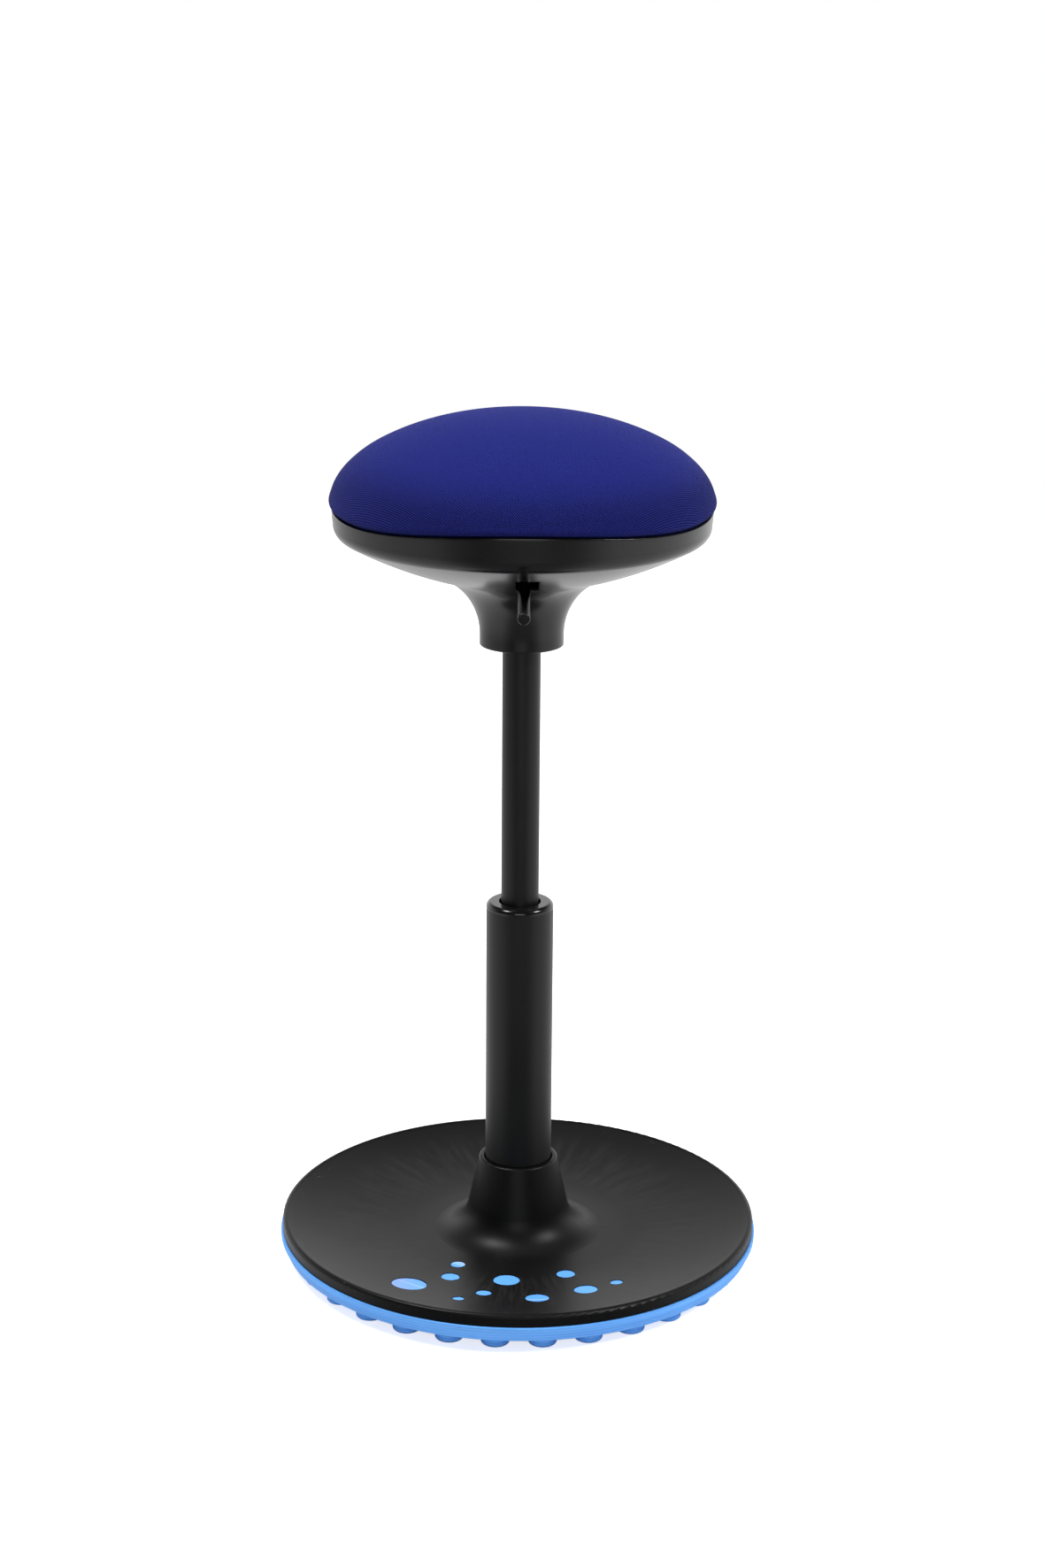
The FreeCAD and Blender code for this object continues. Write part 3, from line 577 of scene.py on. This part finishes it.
def foot_scuffs(shade, place, radius):
    """Patches of fine pale marks and a few specks along the rim."""
    outer = shade.spread(radius, (scuff_radius - scuff_fade, scuff_radius), smooth=True)
    patches = shade.spread(shade.noise(place, patch_scale), patch_span)
    scratches = shade.noise(place, mark_scale, detail=3.0, roughness=0.7)
    marks = shade.spread(scratches, mark_span)
    scuffs = shade.math("MULTIPLY", shade.math("MULTIPLY", outer, patches), marks)
    dust = shade.noise(place, speck_scale, detail=1.0)
    specks = shade.spread(dust, speck_span, (0.0, speck_share))
    return shade.math("MAXIMUM", scuffs, shade.math("MULTIPLY", specks, outer))


def foot_plastic(name):
    """The dish: black plastic with pale radial wear, and scuffs where shoes touch its rim."""
    shade = Shading(name)
    place = shade.place()
    parts = shade.split(place)
    flat = shade.combine(parts["X"], parts["Y"], 0.0)
    radius = shade.length(flat)
    wear = foot_wear(shade, flat, radius)
    clouds = shade.noise(place, cloud_scale, detail=3.0)
    fine = shade.noise(place, foot_grain_scale)
    cloudy = shade.spread(clouds, noise_span)
    colour = shade.mix(cloudy, linear(*foot_tone), linear(*foot_tone_light))
    colour = shade.mix(shade.math("MULTIPLY", wear, wear_share), colour, linear(*wear_tone))
    colour = shade.mix(foot_scuffs(shade, place, radius), colour, linear(*scuff_tone))
    dish = shade.spread(radius, (bell_radius, bell_radius + bell_fade), smooth=True)
    before_rim = shade.spread(radius, (scuff_radius, scuff_radius + rim_fade), (1.0, 0.0))
    gloss = shade.blend(shade.math("MULTIPLY", dish, before_rim), bell_gloss, foot_gloss)
    gloss = shade.math("ADD", gloss, shade.spread(clouds, noise_span, (0.0, foot_gloss_clouds)))
    gloss = shade.math("ADD", gloss, shade.math("MULTIPLY", wear, wear_dullness))
    return shade.finish({
        "Base Color": colour,
        "Roughness": gloss,
        "Specular IOR Level": foot_specular,
        "Normal": shade.bump(fine, foot_grain, grain_strength),
    })


def tread_rubber(name):
    """Blue rubber with fine mould lines round its edge, painted pale as highlights; the left dots are
    more violet.
    """
    shade = Shading(name)
    place = shade.place()
    parts = shade.split(place)
    clouds = shade.noise(place, rubber_cloud_scale, detail=4.0)
    fine = shade.noise(place, rubber_fine_scale)
    turns = shade.math("MULTIPLY", parts["Z"], FULL_TURN / mould_line_pitch)
    lines = shade.spread(shade.math("COSINE", turns), mould_line_span, smooth=True)
    share = shade.spread(clouds, soft_span)
    colour = shade.mix(share, linear(*tread_tone), linear(*tread_tone_light))
    # Painted highlight: the mould lines are mixed towards a pale tone
    painted_line_highlights = shade.math("MULTIPLY", lines, mould_line_highlight_share)
    colour = shade.mix(painted_line_highlights, colour, linear(*mould_line_highlight_tone))
    left = shade.spread(parts["X"], dot_sides, (1.0, 0.0), smooth=True)
    high = shade.spread(parts["Z"], (dot_level, dot_level + dot_level_fade))
    radius = shade.length(shade.combine(parts["X"], parts["Y"], 0.0))
    inside = shade.spread(radius, (dot_reach, dot_reach + dot_reach_fade), (1.0, 0.0))
    violet = shade.math("MULTIPLY", left, shade.math("MULTIPLY", high, inside))
    colour = shade.mix(shade.math("MULTIPLY", violet, dot_share), colour, linear(*dot_tone))
    height = shade.math("SUBTRACT", fine, shade.math("MULTIPLY", lines, mould_line_depth))
    return shade.finish({
        "Base Color": colour,
        "Roughness": shade.spread(fine, noise_span, rubber_gloss),
        "Specular IOR Level": rubber_specular,
        "Normal": shade.bump(height, rubber_grain, rubber_strength),
    })


def rubber(name, colour, shade_colour):
    """Plain rubber, with slight clouds and a fine grain."""
    shade = Shading(name)
    place = shade.place()
    clouds = shade.noise(place, rubber_cloud_scale, detail=4.0)
    fine = shade.noise(place, rubber_fine_scale)
    return shade.finish({
        "Base Color": shade.mix(shade.spread(clouds, soft_span), colour, shade_colour),
        "Roughness": shade.spread(fine, noise_span, rubber_gloss),
        "Specular IOR Level": rubber_specular,
        "Normal": shade.bump(fine, rubber_grain, rubber_strength),
    })


def metal(name, colour, gloss, stretch):
    """Turned or drawn metal with fine lines along one way."""
    shade = Shading(name)
    mapping = shade.add("Mapping", {"Vector": shade.place(), "Scale": stretch})
    lines = shade.noise(mapping.outputs["Vector"], metal_line_scale, detail=3.0)
    dark = tuple(metal_shade * level for level in colour[:3]) + (1.0,)
    return shade.finish({
        "Base Color": shade.mix(lines, colour, dark),
        "Metallic": 1.0,
        "Roughness": shade.spread(lines, noise_span, gloss),
        "Normal": shade.bump(lines, metal_grain, metal_strength),
    })


def wood(name):
    shade = Shading(name)
    mapping = shade.add("Mapping", {"Vector": shade.place(), "Scale": wood_stretch})
    grain = shade.noise(mapping.outputs["Vector"], wood_scale, detail=6.0, roughness=0.65)
    return shade.finish({
        "Base Color": shade.mix(grain, linear(*wood_tone), linear(*wood_tone_dark)),
        "Roughness": shade.spread(grain, noise_span, wood_gloss),
        "Normal": shade.bump(grain, wood_grain, wood_strength),
    })


def foam(name):
    shade = Shading(name)
    sockets = {"Vector": shade.place(), "Scale": foam_scale}
    cells = shade.add("TexVoronoi", sockets).outputs["Distance"]
    return shade.finish({
        "Base Color": shade.mix(cells, linear(*foam_tone), linear(*foam_tone_light)),
        "Roughness": shade.spread(cells, foam_span, foam_gloss),
        "Normal": shade.bump(cells, foam_grain, foam_strength),
    })


def weave_dots(shade, cloth):
    """Rows of raised dots, every second row half a step aside, not quite straight."""
    waver = shade.add("TexNoise", {"Vector": cloth, "Scale": waver_scale, "Detail": 2.0})
    centred = shade.vector("SUBTRACT", waver.outputs["Color"], (0.5, 0.5, 0.5))
    drift = shade.vector("SCALE", centred, Scale=waver_reach)
    parts = shade.split(shade.vector("ADD", cloth, drift))
    turn_across = shade.math("MULTIPLY", parts["X"], FULL_TURN / weave_pitch_across)
    turn_along = shade.math("MULTIPLY", parts["Y"], FULL_TURN / weave_pitch_along)
    across = shade.math("COSINE", turn_across)
    along = shade.math("COSINE", turn_along)
    return shade.spread(shade.math("MULTIPLY", across, along), weave_span, smooth=True)


def seat_fabric(name):
    """Woven cover. Its dots stand out low on the sides, which are painted darker as shade."""
    shade = Shading(name)
    cloth = shade.add("UVMap", uv_map="weave").outputs["UV"]
    dots = weave_dots(shade, cloth)
    fibres = shade.noise(cloth, fibre_scale, detail=3.0, roughness=0.7)
    clouds = shade.noise(cloth, cloth_cloud_scale, detail=4.0)
    height = shade.math("ADD", dots, shade.math("MULTIPLY", fibres, fibre_depth))
    level = shade.split(shade.place())["Z"]
    sides = (weave_clear_below, weave_even_above)
    clear = shade.spread(level, sides, (1.0, weave_top_contrast), smooth=True)
    soft = shade.blend(clear, weave_mean, dots)
    dot_part = shade.math("MULTIPLY", soft, weave_share)
    fibre_part = shade.math("MULTIPLY", fibres, fibre_share)
    tone = shade.math("ADD", dot_part, fibre_part)
    # Painted shade: the cloth's tone falls towards the bottom of the cushion
    painted_low_shade = shade.spread(level, sides, (low_painted_shade, 0.0), smooth=True)
    tone = shade.math("SUBTRACT", tone, painted_low_shade)
    colour = shade.mix(shade.spread(tone, tone_span), linear(*cloth_dark), linear(*cloth_light))
    faded = shade.spread(clouds, soft_span, (0.0, cloth_cloud_share))
    colour = shade.mix(faded, colour, linear(*cloth_faded))
    return shade.finish({
        "Base Color": colour,
        "Roughness": shade.spread(fibres, noise_span, cloth_gloss),
        "Specular IOR Level": cloth_specular,
        "Sheen Weight": sheen_weight,
        "Sheen Roughness": sheen_roughness,
        "Sheen Tint": linear(*sheen_tint),
        "Normal": shade.bump(height, weave_depth, weave_strength),
    })


def make_materials():
    black = linear(12, 12, 12)
    return {
        "tread_rubber": tread_rubber("tread_rubber"),
        "foot_plastic": foot_plastic("foot_plastic"),
        "shell_plastic": moulded_plastic("shell_plastic", 14, 19, shell_gloss, 0.02 * MM),
        "cap_plastic": moulded_plastic("cap_plastic", 14, 18, (0.12, 0.18), 0.01 * MM),
        "tube_paint": moulded_plastic("tube_paint", 14, 19, (0.36, 0.44), 0.03 * MM, 0.27),
        "bracket_paint": moulded_plastic("bracket_paint", 30, 36, (0.4, 0.5), 0.05 * MM),
        "lever_paint": moulded_plastic("lever_paint", 6, 9, (0.1, 0.16), 0.01 * MM),
        "zinc_steel": metal("zinc_steel", linear(190, 192, 196), (0.25, 0.4), (1.0, 1.0, 8.0)),
        "ground_steel": metal("ground_steel", linear(205, 205, 208), (0.12, 0.2), (1.0, 1.0, 20.0)),
        "valve_metal": metal("valve_metal", linear(200, 190, 150), (0.2, 0.35), (1.0, 1.0, 12.0)),
        "bush_plastic": moulded_plastic("bush_plastic", 200, 214, (0.4, 0.5), 0.02 * MM),
        "seal_rubber": rubber("seal_rubber", black, linear(20, 20, 20)),
        "board_wood": wood("board_wood"),
        "cushion_foam": foam("cushion_foam"),
        "seat_fabric": seat_fabric("seat_fabric"),
    }


def dress(piece, material):
    piece.data.materials.clear()
    piece.data.materials.append(material)


# Stage

def world():
    """White behind the object. Its light is that of a plain room: pale behind, dim in front."""
    made = bpy.data.worlds.new("studio")
    bpy.context.scene.world = made
    room = Tree(made)
    way = room.split(room.add("TexCoord").outputs["Generated"])
    behind = room.spread(way["Z"], room_above_span, (room_back, room_above), smooth=True)
    backness = room.spread(way["Y"], room_back_span, smooth=True)
    light = room.blend(backness, room_front, behind)
    path = room.add("LightPath")
    shown = room.blend(path.outputs["Is Camera Ray"], light, 1.0)
    white = (1.0, 1.0, 1.0, 1.0)
    room.surface(room.add("Background", {"Color": white, "Strength": shown}), "OutputWorld")


def floor():
    """White floor that keeps a soft shadow. Black parts mirror it dimmer in front."""
    corners = arc((0, 0), floor_radius, 0, FULL_TURN, floor_corners)[:-1]
    piece = mesh_object("floor", [(x, y, 0) for x, y in corners], [tuple(range(len(corners)))])
    shade = Shading("floor_white")
    path = shade.add("LightPath")
    place = shade.place()
    radius = shade.length(place)
    heading = shade.split(shade.vector("NORMALIZE", place))
    sides = (floor_mirrored_left, floor_mirrored_right)
    side = shade.spread(heading["X"], floor_side_span, sides, smooth=True)
    distance = shade.spread(radius, floor_near_span, smooth=True)
    around = shade.blend(distance, floor_mirrored_near, side)
    beside = shade.spread(heading["Y"], floor_front_span, smooth=True)
    around = shade.blend(beside, floor_mirrored_front, around)
    camera_ray = path.outputs["Is Camera Ray"]
    glossy_ray = path.outputs["Is Glossy Ray"]
    seen = shade.math("MAXIMUM", camera_ray, path.outputs["Is Transmission Ray"])
    shown = shade.spread(radius, floor_near_span, (floor_glow_near, floor_glow), smooth=True)
    mirrored = shade.math("MULTIPLY", glossy_ray, around)
    glow = shade.math("ADD", shade.math("MULTIPLY", seen, shown), mirrored)
    plain = (floor_colour,) * 3 + (1.0,)
    dim = (floor_colour_mirrored,) * 3 + (1.0,)
    matt = shade.add("BsdfDiffuse", {"Color": shade.mix(glossy_ray, plain, dim)})
    lit = shade.add("Emission", {"Strength": glow})
    shade.surface(shade.add("AddShader", {0: lit.outputs[0], 1: matt.outputs[0]}))
    dress(piece, shade.material)


def softbox(name, azimuth_deg, elevation_deg, distance, size, power):
    """Square lamp that looks at the stool. Azimuth 0 is the front, positive to the right."""
    azimuth = math.radians(azimuth_deg)
    elevation = math.radians(elevation_deg)
    way = Vector((
        math.sin(azimuth) * math.cos(elevation),
        -math.cos(azimuth) * math.cos(elevation),
        math.sin(elevation),
    ))
    lamp = bpy.data.lights.new(name, "AREA")
    lamp.shape = "SQUARE"
    lamp.size = size
    lamp.energy = power
    made = new_object(name, lamp)
    made.location = Vector(lamp_aim) + way * distance
    made.rotation_euler = way.to_track_quat("Z", "Y").to_euler()


def camera():
    data = bpy.data.cameras.new("camera")
    data.lens = camera_lens_mm
    data.sensor_width = camera_sensor_mm
    data.clip_start, data.clip_end = camera_clip
    made = new_object("camera", data)
    turn = Matrix.Rotation(math.radians(camera_heading_deg), 4, "Z")
    turn = turn @ Matrix.Rotation(math.radians(camera_pitch_deg), 4, "X")
    turn = turn @ Matrix.Rotation(math.radians(camera_roll_deg), 4, "Z")
    made.matrix_world = Matrix.Translation(camera_place) @ turn
    bpy.context.scene.camera = made


# Assembly

materials = make_materials()
for piece in nodes.values():
    for slot in piece.material_slots:
        slot.material = materials[slot.material.name.split(".")[0]]

shell = seat_shell()
dress(shell, materials["shell_plastic"])
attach(shell, "seat")
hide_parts("seat_shell")

pad = cushion()
dress(pad, materials["seat_fabric"])
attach(pad, "seat")
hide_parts("cushion_foam", "cushion_cover")

world()
floor()
for lamp in lamps:
    softbox(*lamp)
camera()

bpy.context.scene.view_settings.view_transform = "Standard"
